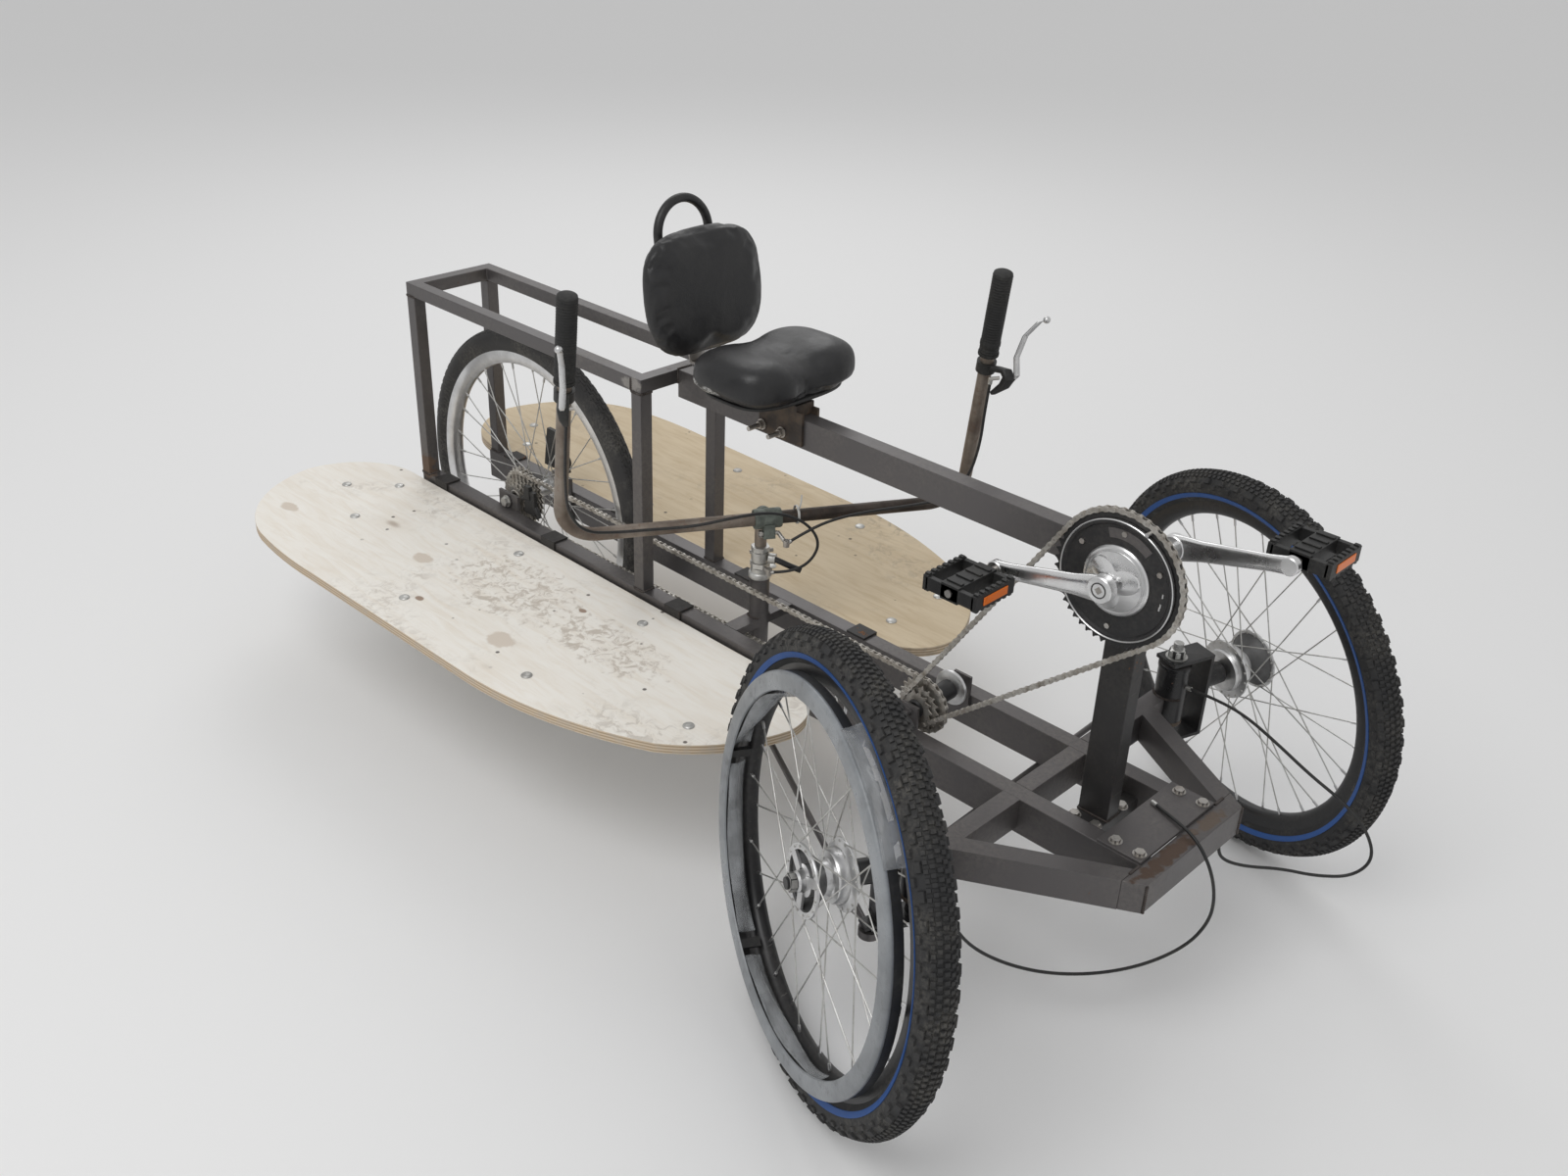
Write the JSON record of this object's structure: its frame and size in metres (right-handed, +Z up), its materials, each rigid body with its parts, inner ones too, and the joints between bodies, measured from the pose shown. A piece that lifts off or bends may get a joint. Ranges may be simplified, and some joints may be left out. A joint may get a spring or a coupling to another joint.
{
  "type": "recumbent trike",
  "caption": "Home-built recumbent trike: steered front wheels, driven rear wheel in a square-tube cage, padded seat on a boom, upright handlebar and plywood side boards.",
  "frame": {"origin": "middle of the footprint on the floor, below the middle of the bounding box", "axes": "+X forward along the rails, +Y to the rider's left, +Z up"},
  "size_m": [2.0836, 1.1774, 1.004],
  "materials": {
    "frame_paint": "semi-gloss",
    "plywood": "matt",
    "chain_steel": "worn",
    "vinyl": "semi-gloss",
    "bar_steel": "worn",
    "grip_rubber": "matt",
    "lever_alloy": "satin",
    "tyre_rubber": "matt",
    "rim_black": "gloss",
    "rim_silver": "satin",
    "hub_alloy": "satin",
    "hoop_plastic": "satin",
    "crank_alloy": "polished",
    "ring_black": "satin",
    "pedal_plastic": "matt",
    "cable_plastic": "satin"
  },
  "bodies": {
    "frame": {"rails": "frame_paint", "cross_tubes": "frame_paint", "front_arms": "frame_paint", "front_plate": "frame_paint", "front_post": "frame_paint", "crank_axle_shell": "frame_paint", "boom": "frame_paint", "rear_cage": "frame_paint", "boards": "plywood", "board_straps": "frame_paint", "head_tube": "frame_paint", "rear_axle_plates": "frame_paint", "jackshaft_axle": "frame_paint", "front_chain": "chain_steel", "rear_chain": "chain_steel", "saddle": "vinyl", "backrest": "vinyl", "loop_handle": "frame_paint", "seat_strip": "chain_steel", "seat_clamp": "chain_steel", "brake_line_right": "cable_plastic", "brake_line_left": "cable_plastic"},
    "handlebar": {"handlebar": "bar_steel", "stem": "bar_steel", "grips": "grip_rubber", "brake_levers": "lever_alloy", "cable_right": "cable_plastic", "cable_left": "cable_plastic"},
    "drag_link": {"drag_link": "frame_paint"},
    "knuckle_right": {"knuckle_right": "frame_paint"},
    "knuckle_left": {"knuckle_left": "frame_paint"},
    "tie_rod": {"tie_rod": "frame_paint"},
    "wheel_right": {"tyre_right": "tyre_rubber", "rim_right": "rim_black", "hub_right": "hub_alloy", "wheel_hoop": "hoop_plastic"},
    "wheel_left": {"tyre_left": "tyre_rubber", "rim_left": "rim_black", "hub_left": "hub_alloy"},
    "wheel_rear": {"tyre_rear": "tyre_rubber", "rim_rear": "rim_silver", "hub_rear": "hub_alloy", "cassette": "chain_steel"},
    "crankset": {"cranks": "crank_alloy", "chainring": "ring_black"},
    "pedal_right": {"pedal_right": "pedal_plastic"},
    "pedal_left": {"pedal_left": "pedal_plastic"},
    "jackshaft": {"jackshaft": "chain_steel"}
  },
  "joints": [
    {"name": "handlebar_turn", "type": "hinge", "parent": "frame", "child": "handlebar", "pos_m": [0.02822, 0.01401, 0.388], "axis": [0, 0, 1], "range_deg": [-5, 65]},
    {"name": "knuckle_right_turn", "type": "hinge", "parent": "frame", "child": "knuckle_right", "pos_m": [0.65822, -0.30099, 0.372], "axis": [0, 0, 1], "range_deg": [-4, 46]},
    {"name": "knuckle_left_turn", "type": "hinge", "parent": "frame", "child": "knuckle_left", "pos_m": [0.65822, 0.32901, 0.372], "axis": [0, 0, 1], "range_deg": [-4, 46]},
    {"name": "tie_rod_swing", "type": "hinge", "parent": "knuckle_right", "child": "tie_rod", "pos_m": [0.5881, -0.24459, 0.242], "axis": [0, 0, 1], "range_deg": [-50, 4.5]},
    {"name": "drag_link_swing", "type": "hinge", "parent": "handlebar", "child": "drag_link", "pos_m": [0.00322, -0.02929, 0.218], "axis": [0, 0, 1], "range_deg": [-65.5, 5.5]},
    {"name": "wheel_right_spin", "type": "hinge", "parent": "knuckle_right", "child": "wheel_right", "pos_m": [0.60046, -0.43071, 0.33147], "axis": [0.4049, 0.9093, -0.0959], "continuous": true},
    {"name": "wheel_left_spin", "type": "hinge", "parent": "knuckle_left", "child": "wheel_left", "pos_m": [0.7021, 0.46406, 0.33147], "axis": [0.3076, 0.9467, 0.0959], "continuous": true},
    {"name": "wheel_rear_spin", "type": "hinge", "parent": "frame", "child": "wheel_rear", "pos_m": [-0.60178, 0.01401, 0.328], "axis": [0, 1, 0], "continuous": true},
    {"name": "crank_spin", "type": "hinge", "parent": "frame", "child": "crankset", "pos_m": [0.73622, 0.01401, 0.688], "axis": [0, 1, 0], "continuous": true},
    {"name": "pedal_right_spin", "type": "hinge", "parent": "crankset", "child": "pedal_right", "pos_m": [0.57025, -0.13599, 0.65121], "axis": [0, 1, 0], "continuous": true},
    {"name": "pedal_left_spin", "type": "hinge", "parent": "crankset", "child": "pedal_left", "pos_m": [0.90219, 0.16401, 0.72479], "axis": [0, 1, 0], "continuous": true},
    {"name": "jackshaft_spin", "type": "hinge", "parent": "frame", "child": "jackshaft", "pos_m": [0.42622, 0.01401, 0.335], "axis": [0, 1, 0], "continuous": true}
  ],
  "couplings": [
    {"joint": "knuckle_right_turn", "follows": "handlebar_turn", "ratio": 0.7},
    {"joint": "knuckle_left_turn", "follows": "handlebar_turn", "ratio": 0.7},
    {"joint": "tie_rod_swing", "follows": "handlebar_turn", "ratio": -0.762},
    {"joint": "drag_link_swing", "follows": "handlebar_turn", "ratio": -1},
    {"joint": "jackshaft_spin", "follows": "crank_spin", "ratio": 3.4286}
  ]
}
